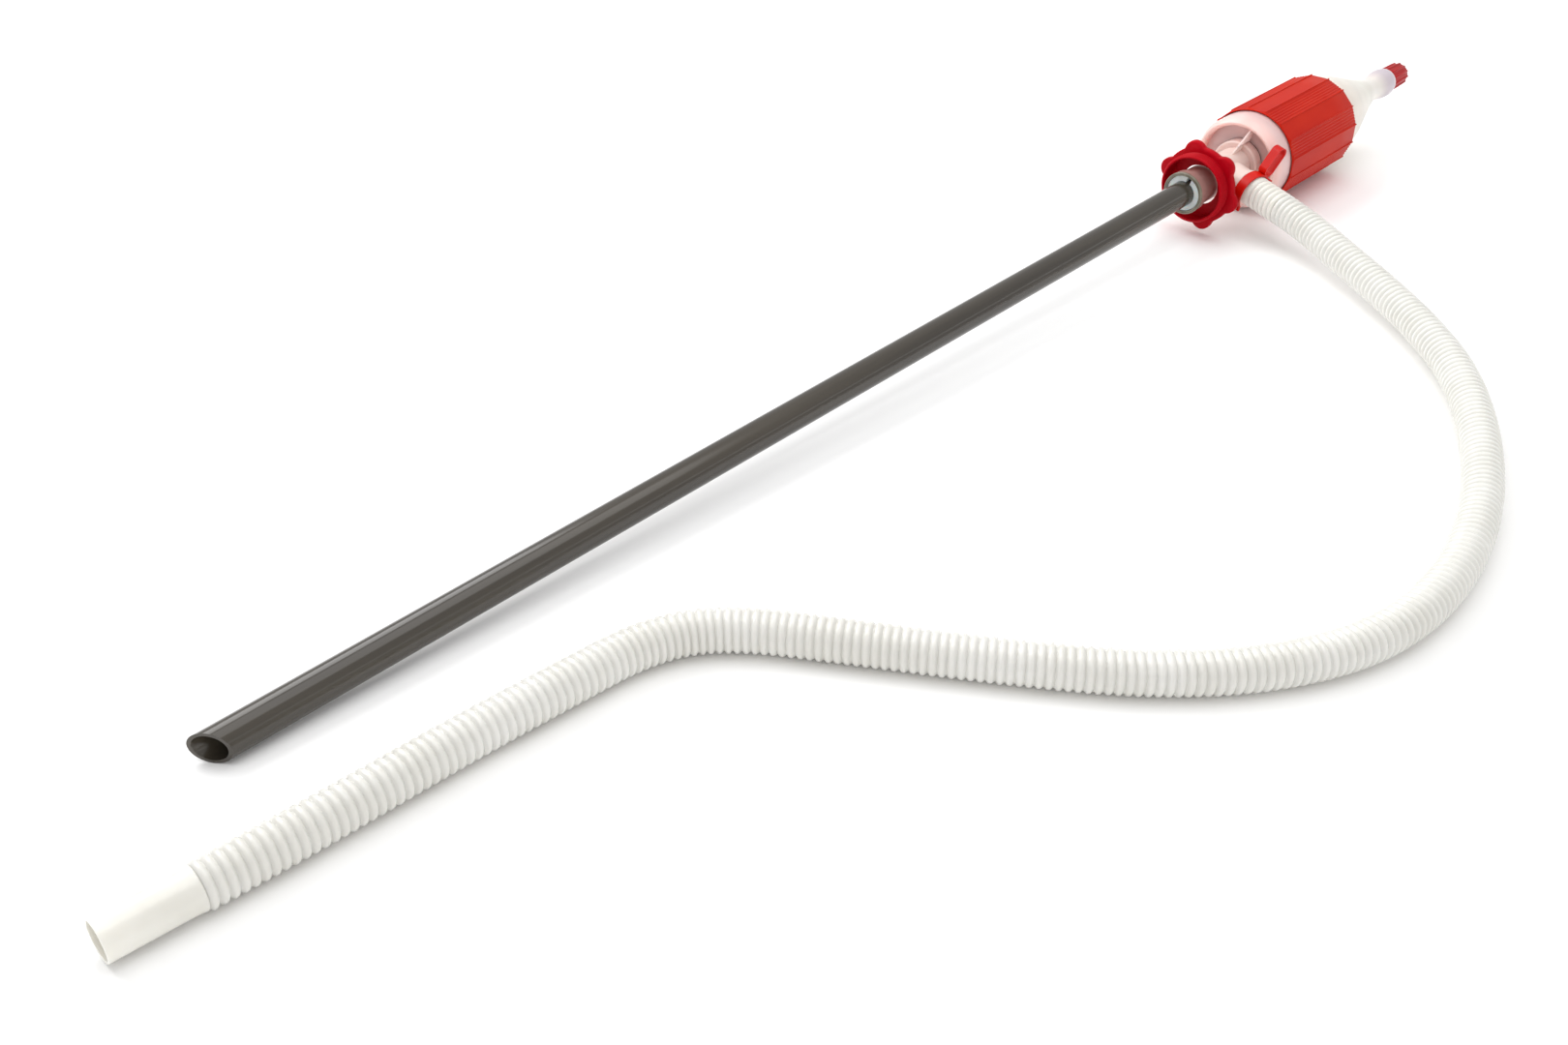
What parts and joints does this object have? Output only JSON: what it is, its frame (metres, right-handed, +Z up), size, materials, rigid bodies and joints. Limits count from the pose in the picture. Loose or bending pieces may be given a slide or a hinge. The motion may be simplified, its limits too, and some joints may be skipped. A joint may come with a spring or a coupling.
{
  "type": "hand drum pump",
  "caption": "Hand-operated plunger drum pump with a long suction tube, a loose bung nut, a telescoping barrel with a ribbed grip, a vent tower and a corrugated discharge hose.",
  "frame": {"origin": "bottom centre of the pump without its hose, on the table it lies on", "axes": "+X along the pump from the suction tube's tip to the vent cap, +Z up; the side outlet points towards -Y"},
  "size_m": [1.4229, 0.4483, 0.0864],
  "materials": {
    "tube_pvc": "extruded grey-brown PVC, semi-gloss",
    "collet_nylon": "milky white moulded nylon",
    "seal_rubber": "black nitrile rubber",
    "collar_pvc": "khaki moulded PVC, satin",
    "natural_pe": "translucent natural polyethylene, waxy gloss",
    "grip_red": "orange-red moulded polypropylene, gloss",
    "plug_grey": "lilac-grey moulded plastic",
    "cap_red": "dark red moulded polypropylene, gloss",
    "nut_red": "crimson moulded polypropylene, gloss",
    "clip_red": "red moulded polypropylene, gloss",
    "hose_ldpe": "milky natural LDPE, satin"
  },
  "bodies": {
    "pump": {"suction_tube": "tube_pvc", "tube_collet": "collet_nylon", "tube_seal": "seal_rubber", "collar_ring": "collar_pvc", "neck_tee": "natural_pe", "inlet_valve_seat": "natural_pe", "inlet_valve_cage": "natural_pe", "outlet_valve_seat": "natural_pe", "outlet_spigot": "natural_pe", "cylinder_cup": "natural_pe", "cup_gasket": "seal_rubber", "cylinder_stop_ring": "natural_pe", "hose_start_cuff": "hose_ldpe", "hose": "hose_ldpe", "hose_end_cuff": "hose_ldpe"},
    "bung": {"bung_nut": "nut_red"},
    "inlet_disc": {"inlet_valve_disc": "seal_rubber"},
    "outlet_disc": {"outlet_valve_disc": "seal_rubber"},
    "clip": {"hose_clip": "clip_red"},
    "plunger": {"plunger_bottle": "natural_pe", "piston_head": "natural_pe", "piston_seal_front": "seal_rubber", "piston_seal_rear": "seal_rubber", "grip_sleeve": "grip_red"},
    "vent_valve": {"vent_plug": "plug_grey"},
    "cap": {"vent_cap": "cap_red"}
  },
  "joints": [
    {"name": "plunger_slide", "type": "slide", "parent": "pump", "child": "plunger", "axis": [1, 0, 0], "range_m": [0, 0.08]},
    {"name": "bung_spin", "type": "hinge", "parent": "pump", "child": "bung", "pos_m": [0.2805, 0.0077, 0.04258], "axis": [1, 0, 0], "continuous": true},
    {"name": "inlet_valve_lift", "type": "slide", "parent": "pump", "child": "inlet_disc", "axis": [1, 0, 0], "range_m": [0, 0.003]},
    {"name": "outlet_valve_lift", "type": "slide", "parent": "pump", "child": "outlet_disc", "axis": [-0.2563, -0.9565, -0.1392], "range_m": [0, 0.003]},
    {"name": "clip_swivel", "type": "hinge", "parent": "pump", "child": "clip", "pos_m": [0.31565, -0.02591, 0.03673], "axis": [-0.2563, -0.9565, -0.1392], "range_deg": [0, 50]},
    {"name": "vent_lift", "type": "slide", "parent": "plunger", "child": "vent_valve", "axis": [1, 0, 0], "range_m": [0, 0.0046]},
    {"name": "vent_turn", "type": "hinge", "parent": "vent_valve", "child": "cap", "pos_m": [0.65, 0.0077, 0.04318], "axis": [1, 0, 0], "range_deg": [0, 540]}
  ],
  "couplings": [
    {"joint": "vent_lift", "follows": "vent_turn", "m_per_rad": 0.00047746}
  ]
}
